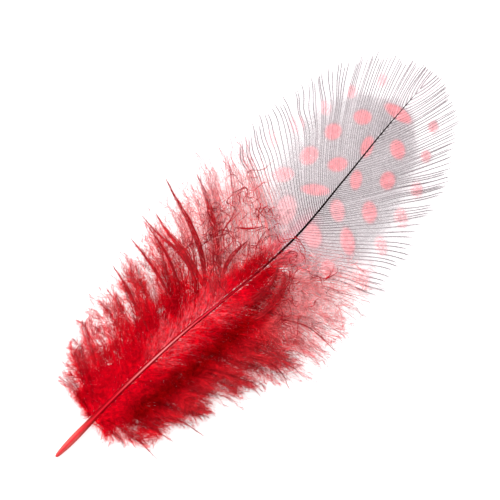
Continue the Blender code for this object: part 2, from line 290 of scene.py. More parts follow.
# Where the picture is taken from
PICTURE_MIDDLE = (51.35, 1.31, 3.0)  # along, sideways, height
PICTURE_WIDTH = 90.0
ROLL = math.radians(45.876)  # of the feather's length against the picture's lower edge
LENS = 200.0
SENSOR = 36.0

# The studio, in metres and watts
FLOOR_SIZE = 1.6
FLOOR_TONE = (0.6, 0.6, 0.6, 1)
FLOOR_GLOW = 0.75
SKY = 0.55
WINDOW_SIZE = 0.5
WINDOW_POWER = 5.5
WINDOW_PLACE = (0.05, 0.42, 0.5)  # on the upper left of the picture


def through(stations, at):
    """The smooth curve through the stations, read at one place or at many."""
    places, values = np.array(stations, float).T
    slopes = np.gradient(values, places)
    at = np.clip(at, places[0], places[-1])
    i = np.clip(np.searchsorted(places, at) - 1, 0, len(places) - 2)
    gap = places[i + 1] - places[i]
    t = (at - places[i]) / gap
    return (
        (1 + 2 * t) * (1 - t) ** 2 * values[i]
        + t * (1 - t) ** 2 * gap * slopes[i]
        + t * t * (3 - 2 * t) * values[i + 1]
        + t * t * (t - 1) * gap * slopes[i + 1]
    )


def ramp(low, high, value):
    """0 below low, 1 above high, and smooth between."""
    t = np.clip((value - low) / (high - low), 0, 1)
    return t * t * (3 - 2 * t)


def mix(a, b, share):
    return np.asarray(a) + (np.asarray(b) - np.asarray(a)) * np.asarray(share)[..., None]


def unit(vectors):
    return vectors / np.maximum(np.linalg.norm(vectors, axis=-1, keepdims=True), 1e-9)


def seeded(kind, side):
    return np.random.default_rng(SEEDS[kind] + (side == "right"))


def keep_above(lines, gap):
    """Lifts what would lie lower than a gap above the table."""
    lines[..., 2] = np.maximum(lines[..., 2], gap)


def left_of_shaft(x, y):
    return y - through(SHAFT_SIDEWAYS, x)


def shaft_point(along):
    along = np.asarray(along, float)
    return np.stack([along, through(SHAFT_SIDEWAYS, along), through(SHAFT_HEIGHT, along)], -1)


def shaft_heading(along):
    ahead, behind = shaft_point(along + 0.5), shaft_point(along - 0.5)
    return np.arctan2(ahead[..., 1] - behind[..., 1], ahead[..., 0] - behind[..., 0])


def turning(shape, roots, share, bend):
    """The angle that a barb has turned out from the shaft, at shares of its length."""
    start = through(shape["start_angle"], roots)[:, None]
    end = (through(shape["end_angle"], roots) + bend)[:, None]
    middle = (start + end) / 2
    if "middle_angle" in shape:
        middle = through(shape["middle_angle"], roots)[:, None] + bend[:, None] / 2
    bow = 4 * middle - 2 * (start + end)
    return np.radians(start + (end - start) * share + bow * share * (1 - share))


def barb_lines(shape, side, roots, reach, bend, steps):
    """The ways of many barbs seen from above, from the shaft out, each as steps + 1 points."""
    length = through(shape["length"], roots) * reach
    share = (np.arange(steps) + 0.5) / steps * reach[:, None]
    heading = shaft_heading(roots)[:, None] + SIDES[side] * turning(shape, roots, share, bend)
    moves = np.stack([np.cos(heading), np.sin(heading)], 2) * (length / steps)[:, None, None]
    first = shaft_point(roots)[:, None, :2]
    return np.concatenate([first, first + np.cumsum(moves, 1)], 1)


def vane_height(x, y):
    """Height of the vane's middle surface, which droops from the shaft to its edges."""
    share = np.abs(left_of_shaft(x, y)) / VANE_HALF_WIDTH
    above = through(SHAFT_HEIGHT, x) - VANE_DROOP * share**2 - VANE_CLEAR
    return VANE_CLEAR + 0.5 * (above + np.sqrt(above**2 + VANE_EASE))


class Strands:
    """Collects tubes and ribbons, and turns them into one mesh with a colour at each point."""

    def __init__(self):
        self.points, self.colours, self.quads, self.tris, self.count = [], [], [], [], 0

    def add(self, points, colours, quads, tris):
        """points and colours are (strands, points of each, 3). quads and tris index one strand's points."""
        strands, each = points.shape[:2]
        first = self.count + np.arange(strands)[:, None, None] * each
        self.points.append(points.reshape(-1, 3))
        self.colours.append(np.clip(colours, 0, 1).reshape(-1, 3))
        self.quads.append((first + quads).reshape(-1, 4))
        self.tris.append((first + tris).reshape(-1, 3))
        self.count += strands * each

    def ribbons(self, lines, widths, across, colours):
        """Flat strands that end in a point. lines is (strands, points of each, 3)."""
        k = lines.shape[1]
        half = across * widths[..., None] / 2
        body = np.stack([(lines - half)[:, :-1], (lines + half)[:, :-1]], 2).reshape(len(lines), -1, 3)
        i = np.arange(k - 2)[:, None] * 2
        quads = i + [0, 1, 3, 2]
        tris = np.array([[2 * k - 4, 2 * k - 3, 2 * k - 2]])
        paint = np.concatenate([np.repeat(colours[:, :-1], 2, 1), colours[:, -1:]], 1)
        self.add(np.concatenate([body, lines[:, -1:]], 1), paint, quads, tris)

    def tubes(self, lines, radii, colours, sides=3):
        """Round strands that end in a point."""
        n, k = lines.shape[:2]
        ways = unit(np.gradient(lines, axis=1))
        across = unit(np.cross(ways, UP))
        over = np.cross(across, ways)
        turns = math.pi / 2 + np.arange(sides) * 2 * math.pi / sides
        ring = across[:, :, None] * np.cos(turns)[:, None] + over[:, :, None] * np.sin(turns)[:, None]
        body = (lines[:, :, None] + ring * radii[..., None, None])[:, :-1].reshape(n, -1, 3)
        a = np.arange(sides)
        b = (a + 1) % sides
        one = np.stack([a, b, b + sides, a + sides], 1)
        quads = (np.arange(k - 2)[:, None, None] * sides + one).reshape(-1, 4)
        last = (k - 2) * sides
        tris = np.stack([a + last, b + last, np.full(sides, (k - 1) * sides)], 1)
        paint = np.concatenate([np.repeat(colours[:, :-1], sides, 1), colours[:, -1:]], 1)
        self.add(np.concatenate([body, lines[:, -1:]], 1), paint, quads, tris)

    def build(self, name, material):
        points = (np.concatenate(self.points) - (LENGTH / 2, MIDDLE, 0)) * MM
        colours = np.concatenate(self.colours)
        quads, tris = np.concatenate(self.quads), np.concatenate(self.tris)
        mesh = bpy.data.meshes.new(name)
        mesh.vertices.add(len(points))
        mesh.vertices.foreach_set("co", points.astype(np.float32).ravel())
        mesh.loops.add(quads.size + tris.size)
        mesh.loops.foreach_set("vertex_index", np.concatenate([quads.ravel(), tris.ravel()]).astype(np.int32))
        mesh.polygons.add(len(quads) + len(tris))
        starts = np.concatenate([np.arange(len(quads)) * 4, quads.size + np.arange(len(tris)) * 3])
        mesh.polygons.foreach_set("loop_start", starts.astype(np.int32))
        mesh.update(calc_edges=True)
        mesh.shade_smooth()
        dye = mesh.color_attributes.new("dye", "FLOAT_COLOR", "POINT")
        paint = np.column_stack([colours, np.ones(len(points))])
        dye.data.foreach_set("color", paint.astype(np.float32).ravel())
        # The colours can be baked into this map, which looks down on the piece
        low, high = points[:, :2].min(0), points[:, :2].max(0)
        flat = 0.01 + 0.98 * (points[:, :2] - low) / (high - low).max()
        corners = np.concatenate([quads.ravel(), tris.ravel()])
        mesh.uv_layers.new(name="OFBake").data.foreach_set("uv", flat[corners].astype(np.float32).ravel())
        piece = bpy.data.objects.new(name, mesh)
        bpy.context.scene.collection.objects.link(piece)
        mesh.materials.append(material)
        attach(piece, "root")
        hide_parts("feather")


def walk(start, heading, goal, length, steps, pull, wobble, draw, swirl=0.0, kind="fuzz"):
    """Strands that set out along heading and turn towards goal. Each wobbles, and neighbours swirl alike."""
    points = [start]
    for _ in range(steps):
        heading = heading + pull * goal + wobble * draw.normal(size=heading.shape)
        if np.any(swirl):
            heading = heading + swirl * tangle(points[-1], kind)
        heading = unit(heading)
        points.append(points[-1] + heading * (length / steps)[:, None])
    return np.stack(points, 1)


def tangle(points, kind):
    """A smooth swirl of directions, the same for strands that lie close together."""
    seed, shortest, longest = TANGLES[kind]
    draw = np.random.default_rng(seed)
    count = WAVES_PER_TANGLE
    waves = unit(draw.normal(size=(count, 3))) * 2 * math.pi / draw.uniform(shortest, longest, (count, 1))
    phases = draw.uniform(0, 2 * math.pi, count)
    pushes = unit(draw.normal(size=(count, 3)) * (1, 1, 0.6))
    return np.sin(points @ waves.T + phases) @ pushes / math.sqrt(count / 2)


def along_lines(lines, share):
    """Points and directions at each share of each line. share is (lines, places)."""
    k = lines.shape[1]
    at = np.clip(share * (k - 1), 0, k - 1.001)
    i = at.astype(int)
    part = (at - i)[..., None]
    row = np.arange(len(lines))[:, None]
    here, there = lines[row, i], lines[row, i + 1]
    return here + (there - here) * part, unit(there - here)


def across_line(line):
    """The level direction square to a line, at each of its points."""
    return unit(np.cross(unit(np.gradient(line, axis=0)), UP))


def loose_ribbons(line, width, taper, facing, draw):
    """Widths along soft ribbons, and the ways they spread, which turn from one ribbon to the next."""
    count = len(line)
    widths = width * draw.uniform(0.6, 1.3, (count, 1)) * np.array(taper)
    turned = unit(draw.normal(size=(count, 1, 3)) * facing)
    return widths, unit(np.cross(np.gradient(line, axis=1), turned))


def spot_strength(along, sideways):
    """How far a place on the vane lies inside a spot, and how strong that spot is, both from 0 to 1."""
    marked, strong = np.zeros(np.shape(along)), np.zeros(np.shape(along))
    for x, y, half_length, half_width, tilt, strength in SPOTS:
        c, s = math.cos(math.radians(tilt)), math.sin(math.radians(tilt))
        dx, dy = along - x, sideways - y
        out = np.hypot((dx * c + dy * s) / half_length, (dy * c - dx * s) / half_width)
        inside = 1 - ramp(0.45, 1.35, out)
        strong = np.where(inside > marked, strength, strong)
        marked = np.maximum(marked, inside)
    return marked, strong


def spot_paint(strong):
    return mix(SPOT_PALE, SPOT_PINK, strong)


def vane_tint(along, sideways):
    """How far the dye has washed into the foot of the vane, from 0 to 1."""
    near = np.abs(left_of_shaft(along, sideways))
    foot = 1 - ramp(56, 66, along)
    by_shaft = (1 - ramp(0.3, 2.6, near)) * (1 - ramp(60, 66, along))
    return np.clip(0.35 * foot + by_shaft, 0, 1)


def film_cover(side, along, sideways):
    """How closely the barbules mesh, from 1 near the shaft to 0 at the vane's loose edge."""
    off = np.abs(left_of_shaft(along, sideways)) / through(FILM_EDGE[side], along)
    return (1 - ramp(0.75, 1.3, off)) * (1 - ramp(83.5, 92.5, along))


def vane_barbs(side, draw):
    """The vane's barbs as lines on its curved surface."""
    roots = [VANE_FROM[side]]
    while roots[-1] < SHAFT_LENGTH - 2:
        roots.append(roots[-1] + float(through(VANE_PITCH, roots[-1])))
    roots = np.array(roots)
    n = len(roots)
    reach = draw.uniform(0.97, 1.06, n)
    bend = draw.normal(0, 1.2, n)
    plan = barb_lines(VANE[side], side, roots, reach, bend, BARB_STEPS)
    # Near the edge the barbs lean together in small groups
    group = np.cumsum(draw.random(n) < GROUP_CHANCE)
    share = np.linspace(0, 1, BARB_STEPS + 1)
    for g in np.unique(group):
        mine = group == g
        lean = LEAN[side] * ramp(0.45, 1, share)[None, :, None] * draw.uniform(0.3, 1)
        lean = lean * ramp(55, 62, roots[mine].mean())
        inward = plan[mine].mean(0) - plan[mine]
        plan[mine] += inward * lean * (1 - ramp(74, 86, roots[mine]))[:, None, None]
    height = vane_height(plan[..., 0], plan[..., 1]) + draw.normal(0, 0.05, (n, 1)) * share
    lines = np.concatenate([plan, height[..., None]], 2)
    loose = ramp(0.3, 1, share) * (1 - ramp(60, 76, roots[:, None])) * SWAY[side]
    lines[..., :2] += tangle(lines, "vane")[..., :2] * loose[..., None]
    return lines, share


def vane_barb_colour(side, lines, share, draw):
    """Dark barbs that pale towards their tips, with the washed-in dye and the spots on them."""
    n = len(lines)
    x, y = lines[..., 0], lines[..., 1]
    marked, strong = spot_strength(x, y)
    colour = mix(DARK_BARB, PALE_BARB, ramp(0.3, 0.8, share)[None, :] * np.ones((n, 1)))
    colour = mix(colour, SMOOTH_BARB, 0.75 * film_cover(side, x, y) * ramp(64, 71, x) * (1 - ramp(84, 88, x)))
    colour = mix(colour, SMOOTH_BARB, 0.5 * ramp(85, 90, x))
    colour = mix(colour, MAUVE, vane_tint(x, y) * 0.6)
    first = 1 - ramp(55.5, 60, lines[:, :1, 0])
    colour = mix(colour, HAZE_RED, 0.6 * first * (1 - ramp(0.35, 0.75, share)))
    dyed = (marked * (0.35 + 0.65 * strong))[..., None]
    colour = colour + (spot_paint(np.maximum(strong, 0.6)) * 0.75 - colour) * dyed * 0.55
    return colour * draw.uniform(0.8, 1.2, (n, 1, 1))


def add_vane_barbules(strands, side, lines, share, draw):
    """Barbules on both edges of each barb, which reach the next barb where the vane is a film."""
    n = len(lines)
    apart = np.linalg.norm(np.cross(np.diff(lines, axis=0), unit(np.gradient(lines, axis=1))[:-1]), axis=2)
    places = (np.arange(BARBULES) + 0.5 + draw.uniform(-0.25, 0.25, (n, BARBULES))) / BARBULES
    for edge in (1, -1):
        # The gap to the next barb on this edge, at each barbule
        ahead = edge * SIDES[side] < 0
        gaps = np.concatenate([apart, apart[-1:]]) if ahead else np.concatenate([apart[:1], apart])
        gap = np.stack([np.interp(places[i], share, gaps[i]) for i in range(n)]).ravel()
        start, way = along_lines(lines, places)
        start, way = start.reshape(-1, 3), way.reshape(-1, 3)
        x, y = start[:, 0], start[:, 1]
        film = film_cover(side, x, y)
        marked, strong = spot_strength(x, y)
        loose = LOOSE_COVER * (1 - 0.7 * ramp(83, 88, x))
        cover = np.maximum(np.maximum(film, loose), marked * (0.6 + 0.4 * strong))
        out = unit(np.cross(UP, way)) * edge
        angle = np.radians(draw.normal(48, 4, len(start)))[:, None]
        heading = way * np.cos(angle) + out * np.sin(angle)
        length = (0.17 + 1.15 * np.minimum(gap, 0.9) * cover) * draw.uniform(0.8, 1.1, len(start))
        line = walk(start, heading, way, length, 2, 0.12, 0.05, draw)
        height = vane_height(line[..., 0], line[..., 1]) - 0.03 * edge
        line[..., 2] = height + draw.normal(0, 0.015, (len(line), 1))
        width = 0.026 + 0.014 * film + marked * (0.015 + 0.03 * strong)
        widths = width[:, None] * np.array([1, 1, 0])
        across = unit(np.cross(np.gradient(line, axis=1), UP))
        grey = mix(mix(LOOSE_FILM, GREY_FILM, film), MAUVE, vane_tint(x, y) * 0.7)[:, None]
        marked, strong = spot_strength(line[..., 0], line[..., 1])
        paint = grey + (spot_paint(strong) - grey) * ramp(0.1, 0.8, marked)[..., None]
        barb_shade = np.repeat(draw.uniform(0.86, 1.08, n), BARBULES)[:, None, None]
        paint = paint * barb_shade * draw.uniform(0.93, 1.07, (len(start), 1, 1))
        strands.ribbons(line, widths, across, paint)


def make_vane(side, material):
    draw = seeded("vane", side)
    strands = Strands()
    lines, share = vane_barbs(side, draw)
    colour = vane_barb_colour(side, lines, share, draw)
    slim = 1 - 0.35 * ramp(82, 91, lines[:, :1, 0]) * (1 - 0.6 * ramp(0.2, 0.6, share))
    strands.tubes(lines, through(BARB_RADIUS, share)[None, :] * slim, colour)
    add_vane_barbules(strands, side, lines, share, draw)
    strands.build(f"vane_{side}", material)


def down_colour(points, share, shade):
    """Dye on the down: bright along the shaft, soft and greyer at the tips, and painted shade deep in the
    fold on its right.
    """
    x, y = points[..., 0], points[..., 1]
    off = left_of_shaft(x, y)
    colour = mix(BRIGHT_RED, SOFT_RED, ramp(5, 14, np.abs(off)))
    # Painted shade: the fold on the right of the shaft is darkened towards deep red
    fold = np.exp(-(((-off - through(FOLD_SHADE, x)) / through(FOLD_SHADE_WIDTH, x)) ** 2))
    colour = mix(colour, DEEP_RED, fold * ramp(11, 16, x) * (1 - ramp(44, 53, x)))
    colour = mix(colour, PALE_RED, 0.2 * ramp(6, 11, off) * ramp(12, 18, x) * (1 - ramp(20, 26, x)))
    patch = 0.35 * ramp(3, 6, off) * (1 - ramp(6, 10, off)) * ramp(29, 35, x) * (1 - ramp(39, 44, x))
    colour = mix(colour, DEEP_RED, patch)
    colour = mix(colour, DEEP_RED, 0.6 * ramp(44, 48, x) * (1 - ramp(1, 4, np.abs(off))))
    # The red reaches further towards the vane beside the fold than on the left and at the edge
    pale_from = 40.5 + 6.5 * (off < 0) * (1 - ramp(6, 9, np.abs(off)))
    colour = mix(colour, HAZE_RED, 0.8 * ramp(0, 11, x - pale_from) * ramp(2, 6, np.abs(off)))
    colour = mix(colour, PALE_RED, 0.8 * ramp(51, 57, x) * (1 - ramp(2, 6, np.abs(off))))
    colour = mix(colour, TIP_GREY, 0.6 * ramp(0.75, 1, share) * ramp(12, 20, np.abs(off)))
    # Streaks along the barbs, which sweep forward as they leave the shaft
    root = (x - 0.55 * np.abs(off))[..., None]
    streak = np.sin(root * STREAK_WAVES + STREAK_STARTS * np.sign(off)[..., None]).mean(-1)
    # Painted sheen makes it brighter beside the middle of the shaft, and it is also brighter where the down
    # thins out towards the vane
    glow = 0.12 * ramp(24, 28, x) * (1 - ramp(38, 42, x)) * (1 - ramp(2.5, 4.5, np.abs(off)))
    glow += 0.2 * ramp(37, 42, x) * ramp(3, 6, np.abs(off))
    return colour * shade * (1 + glow + 0.5 * streak * ramp(2, 7, np.abs(off)))[..., None]


def lock_list(side):
    """Roots, bends and reaches of the locks, drawn as the solid's are."""
    draw = random.Random(LOCK_SEED)
    gap = (LOCK_ROOTS[1] - LOCK_ROOTS[0]) / LOCKS_PER_LAYER
    locks = []
    for one_side in SIDES:
        for layer in LAYERS:
            for i in range(LOCKS_PER_LAYER):
                root = LOCK_ROOTS[0] + (i + LAYERS[layer]["shift"] + draw.uniform(-0.15, 0.15)) * gap
                bend, reach = draw.uniform(-9, 9), draw.uniform(0.88, 1.05)
                if one_side == side:
                    locks.append((root, bend, reach, layer))
    return locks


def hang(layer, high, share):
    """Height at shares of the length of barbs that root this high."""
    form = LAYERS[layer]
    heights = high + (form["tip_height"] - high) * share ** form["fall"]
    return heights + form["bow"] * high * 4 * share * (1 - share)


def barb_heights(roots, layer, share, rise, draw):
    """Heights of barbs in a layer, each with a bow of its own."""
    high = (shaft_point(roots)[:, 2] - LAYERS[layer]["root_drop"])[:, None]
    return hang(layer, high, share) + draw.normal(0, rise, (len(roots), 1)) * np.sin(share * math.pi)


def down_top(side, x, off):
    """Height of the upper layer of down at a distance out from the shaft."""
    share = np.clip(off / (0.85 * through(DOWN[side]["length"], x)), 0, 1)
    return hang("upper", through(SHAFT_HEIGHT, x) - LAYERS["upper"]["root_drop"], share)


def on_down(side, x, off):
    """Points on top of the down."""
    return np.stack([x, through(SHAFT_SIDEWAYS, x) + SIDES[side] * off, down_top(side, x, off)], 1)


def down_lines(side, layer, roots, reaches, bends, rise, draw):
    share = np.linspace(0, 1, DOWN_STEPS + 1)
    # The first barbs at the quill are short and unruly
    first = 1 - ramp(9, 13, roots)
    reaches = reaches * (1 - 0.35 * first * draw.random(len(roots)))
    bends = bends + first * draw.normal(4, 16, len(roots))
    plan = barb_lines(DOWN[side], side, roots, reaches, bends, DOWN_STEPS)
    heights = barb_heights(roots, layer, share, rise, draw)
    return np.concatenate([plan, heights[..., None]], 2)


def down_barbs(side, layer, draw):
    """The down's barbs in one layer, gathered into the solid's locks and a few loose ones between them."""
    share = np.linspace(0, 1, DOWN_STEPS + 1)
    gap = (LOCK_ROOTS[1] - LOCK_ROOTS[0]) / LOCKS_PER_LAYER
    parts = []
    for root, bend, reach, own in lock_list(side):
        if own != layer:
            continue
        n = BARBS_PER_LOCK
        roots = np.clip(root + draw.uniform(-0.8, 0.8, n) * gap, LOCK_ROOTS[0] - 0.6, LOCK_ROOTS[1])
        reaches, bends = reach * draw.uniform(0.8, 1.03, n), bend + draw.normal(0, 8, n)
        lines = down_lines(side, layer, roots, reaches, bends, 0.25, draw)
        lock = np.array([[root], [reach], [bend]])
        middle = barb_lines(DOWN[side], side, *lock, DOWN_STEPS)
        gather = draw.uniform(0.1, GATHER[side]) * ramp(0.3, 1, share)[None, :, None]
        lines[..., :2] += (middle - lines[..., :2]) * gather
        parts.append(lines)
    n = LOOSE_BARBS[side]
    roots = draw.uniform(LOCK_ROOTS[0] - 0.6, LOCK_ROOTS[1], n)
    parts.append(down_lines(side, layer, roots, draw.uniform(0.7, 1.05, n), draw.normal(0, 11, n), 0.3, draw))
    lines = np.concatenate(parts)
    unruly = 1 + UNRULY[side] * ramp(37, 46, lines[:, 0, 0])[:, None, None]
    lines += 0.9 * tangle(lines, "locks") * (share**1.2)[:, None] * (1, 1, 0.3) * unruly
    lines += 0.3 * tangle(lines, "ripples") * (share**0.7)[:, None] * (1, 1, 0.4) * unruly**1.4
    keep_above(lines, 0.08)
    keep = draw.random(len(lines)) < 0.12 + 0.88 * through(DOWN_DENSITY[side], lines[:, 0, 0])
    return lines[keep], share


def tuft_barbs(side, draw):
    """The barbs of the thick soft tufts."""
    share = np.linspace(0, 1, DOWN_STEPS + 1)
    parts = []
    for points, half_width in TUFTS[side]:
        plan = bent(points, DOWN_STEPS)
        height = down_top(side, plan[:, 0], np.abs(left_of_shaft(*plan.T)))
        middle = np.column_stack([plan, height + 0.2])
        spread = half_width * draw.uniform(-1, 1, (TUFT_BARBS, 1)) * (0.5 + 0.6 * share)
        spread = spread * (1 - 0.6 * ramp(0.7, 1, share))
        lines = middle + across_line(middle) * spread[..., None]
        lines[..., 2] += draw.uniform(-0.9, 0.2, (TUFT_BARBS, 1)) * np.sin(share * math.pi)
        reach = draw.uniform(0.75, 1.02, (TUFT_BARBS, 1))
        for axis in range(3):
            for i in range(TUFT_BARBS):
                lines[i, :, axis] = np.interp(share * reach[i], share, lines[i, :, axis])
        parts.append(lines)
    return np.concatenate(parts)


def fuzz(strands, side, lines, places, shade, draw, size=1.0):
    """Barbules on barbs: soft ribbons that stand out from the barb and curl with their neighbours."""
    thin = through(DOWN_DENSITY[side], lines[:, 0, 0])[:, None] * np.ones(places.shape)
    start, way = along_lines(lines, places)
    shade = np.broadcast_to(shade[:, :, 0], places.shape).ravel()
    start, way, places, thin = start.reshape(-1, 3), way.reshape(-1, 3), places.ravel(), thin.ravel()
    keep = draw.random(len(start)) < thin
    start, way, places, shade = start[keep], way[keep], places[keep], shade[keep]
    m = len(start)
    out = unit(np.cross(way, unit(draw.normal(size=(m, 3)) * (0.6, 0.6, 1.6))))
    angle = np.radians(draw.normal(1, 0.3, m) * through(BARBULE_ANGLE, places))[:, None]
    heading = way * np.cos(angle) + out * np.sin(angle)
    length = size * through(BARBULE_LENGTH, places) * draw.uniform(0.5, 1.25, m)
    # Those at the edge of the down swirl less, but not near the vane
    swirl = 0.6 - 0.25 * ramp(9, 13, np.abs(start[:, 1:2])) * (1 - ramp(40, 48, start[:, :1]))
    line = walk(start, heading, way, length, 3, 0.12, 0.12, draw, swirl)
    keep_above(line, 0.03)
    widths, across = loose_ribbons(line, BARBULE_WIDTH, (1, 0.9, 0.6, 0), (1, 1, 1), draw)
    shade = shade[:, None, None] * draw.uniform(0.75, 1.25, (m, 1, 1))
    strands.ribbons(line, widths, across, down_colour(line, places[:, None], shade))


def make_down(side, layer, material):
    draw = seeded(layer, side)
    strands = Strands()
    lines, share = down_barbs(side, layer, draw)
    if layer == "upper":
        lines = np.concatenate([lines, tuft_barbs(side, draw)])
    n = len(lines)
    shade = draw.uniform(0.75, 1.15, (n, 1, 1))
    radii = through([(0, 0.05), (0.4, 0.035), (1, 0.012)], share) * (1 - 0.3 * ramp(42, 50, lines[:, :1, 0]))
    colour = mix(down_colour(lines, share[None, :], shade), HAZE_RED, 0.6 * ramp(44, 52, lines[..., 0]))
    strands.tubes(lines, radii, colour)
    each = BARBULES_PER_BARB[layer]
    places = (np.arange(each) + draw.random((n, each))) / each
    fuzz(strands, side, lines, places**0.78, shade, draw)
    strands.build(f"down_{side}_{layer}", material)


def bent(points, steps):
    """A smooth line through a few points."""
    at = np.linspace(0, len(points) - 1, steps + 1)
    stations = [[(i, p[axis]) for i, p in enumerate(points)] for axis in (0, 1)]
    return np.stack([through(stations[0], at), through(stations[1], at)], 1)


def add_spike(strands, side, points, half_width, bright, draw):
    """One matted barb: a bundle of hairs that end at their own places, with fuzz on them."""
    share = np.linspace(0, 1, DOWN_STEPS + 1)
    plan = bent(points, DOWN_STEPS)
    off = np.abs(left_of_shaft(*plan.T))
    height = down_top(side, plan[:, 0], off) - 0.5 + 1.2 * ramp(0.08, 0.35, share)
    middle = np.column_stack([plan, height])
    n = math.ceil(SPIKE_HAIRS * min(1, half_width / FULL_SPIKE))
    swell = (0.3 + 0.7 * ramp(0, 0.4, share)) * (1 - 0.8 * ramp(0.5, 0.97, share)) + 0.05
    reaches = 1 - 0.35 * draw.random(n) ** 1.5
    spread = half_width * np.sqrt(draw.random((n, 1))) * swell
    turn = draw.uniform(0, 2 * math.pi, (n, 1))
    lines = np.stack([np.interp(reaches[:, None] * share, share, row) for row in middle.T], 2)
    lines += across_line(middle) * (spread * np.cos(turn))[..., None]
    lines[..., 2] += 0.4 * spread * np.sin(turn)
    lines = lines + 0.04 * draw.normal(size=lines.shape) * share[:, None]
    bright_here = bright + 0.3 * (1 - ramp(0, 0.4, share)) + 0.25 * ramp(0.55, 0.9, share)
    colour = mix(SPIKE_DARK, SOFT_RED, np.minimum(bright_here, 1)) * np.ones((n, 1, 1))
    colour = mix(colour, SPIKE_TIP, 0.6 * ramp(0.75, 1, share) * np.ones((n, 1)))
    radii = through([(0, 0.055), (0.6, 0.045), (1, 0.015)], share) * np.ones((n, 1))
    strands.tubes(lines, radii, colour * draw.uniform(0.75, 1.25, (n, 1, 1)))
    places = 0.25 + 0.7 * draw.random((n, SPIKE_FUZZ))
    fuzz(strands, side, lines, places, np.full((n, 1, 1), 0.8), draw, 0.45)


def add_wisps(strands, side, root, count, draw):
    """Single barbs that reach past the edge of the down."""
    share = np.linspace(0, 1, DOWN_STEPS + 1)
    roots = np.clip(root + draw.normal(0, 1.5, count), LOCK_ROOTS[0], LOCK_ROOTS[1])
    reaches, bends = draw.uniform(1.0, 1.22, count), draw.normal(0, 9, count)
    plan = barb_lines(DOWN[side], side, roots, reaches, bends, DOWN_STEPS)
    heights = barb_heights(roots, "upper", share, 0.4, draw)
    lines = np.concatenate([plan, heights[..., None]], 2)
    lines += 0.5 * tangle(lines, "wisps") * (share**2)[:, None] * (1, 1, 0.4)
    keep_above(lines, 0.1)
    radii = through([(0, 0.05), (0.7, 0.045), (1, 0.02)], share) * np.ones((count, 1))
    foot = mix(DEEP_RED, HAZE_RED, ramp(36, 46, roots))[:, None]
    colour = mix(foot, WISP_TIP[side], np.ones((count, 1)) * ramp(0.45, 0.85, share))
    strands.tubes(lines, radii, colour)
    if side == "left" and root > WISP_FUZZ_FROM:
        places = draw.uniform(0.5, 1, (count, WISP_FUZZ))
        fuzz(strands, side, lines, places, np.ones((count, 1, 1)), draw, 0.6)


def make_hairs(side, material):
    """Matted barbs that stand out of the down, and single hairs that reach past its edge."""
    draw = seeded("hairs", side)
    strands = Strands()
    for points, half_width, bright in SPIKES[side]:
        add_spike(strands, side, points, half_width, bright, draw)
    for root, count in WISPS[side]:
        add_wisps(strands, side, root, count, draw)
    strands.build(f"hairs_{side}", material)


def add_haze(strands, side, draw):
    """The pale haze of the finest barbules, which thins out towards the vane and the feather's edge."""
    count, low, high, near, far = HAZE[side]
    x, off = draw.uniform(low, high, count), draw.uniform(near, far, count)
    thin = ramp(low - 1, low + 6, x) * (1 - ramp(high - 9, high, x)) * (1 - ramp(far - 10, far, off))
    keep = draw.random(count) < thin
    x, off = x[keep], off[keep]
    count = len(x)
    start = on_down(side, x, off)
    start[:, 2] = np.maximum(start[:, 2] - draw.uniform(0, 1.8, count), 0.1)
    angle = SIDES[side] * np.radians(draw.normal(62, 35, count))
    way = np.stack([np.cos(angle), np.sin(angle), 0.15 * draw.normal(size=count)], 1)
    line = walk(start, way, way, draw.uniform(1.2, 3.2, count), 4, 0.1, 0.2, draw, swirl=0.7)
    keep_above(line, 0.05)
    widths, across = loose_ribbons(line, BARBULE_WIDTH, (0.7, 1, 1, 0.7, 0), (0.6, 0.6, 1), draw)
    colour = mix(HAZE_RED, HAZE_PALE, ramp(42, 58, line[..., 0])) * draw.uniform(0.8, 1.05, (count, 1, 1))
    strands.ribbons(line, widths, across, colour)


def make_curls(side, material):
    """The pale haze and the tangle of dark curling barbs where the down gives way to the vane."""
    draw = seeded("curls", side)
    strands = Strands()
    add_haze(strands, side, draw)
    count, low, high, near, far = CURLS[side]
    x = draw.uniform(low, high, count)
    off = draw.uniform(near, far, count)
    start = on_down(side, x, off)
    start[:, 2] += draw.uniform(0, 0.8, count)
    turn = draw.uniform(0, 2 * math.pi, count)
    way = np.stack([np.cos(turn), np.sin(turn), np.zeros(count)], 1)
    line = walk(start, way, 0, draw.uniform(3, 9, count), CURL_STEPS, 0, 0.15, draw, 0.55, "curls")
    keep_above(line, 0.1)
    share = np.linspace(0, 1, CURL_STEPS + 1)
    radii = np.sin((0.1 + 0.85 * share) * math.pi) * draw.uniform(0.04, 0.09, (count, 1))
    colour = mix(CURL_DARK, SOFT_RED, draw.random((count, 1)) * np.ones(CURL_STEPS + 1))
    strands.tubes(line, radii, colour)
    strands.build(f"curls_{side}", material)


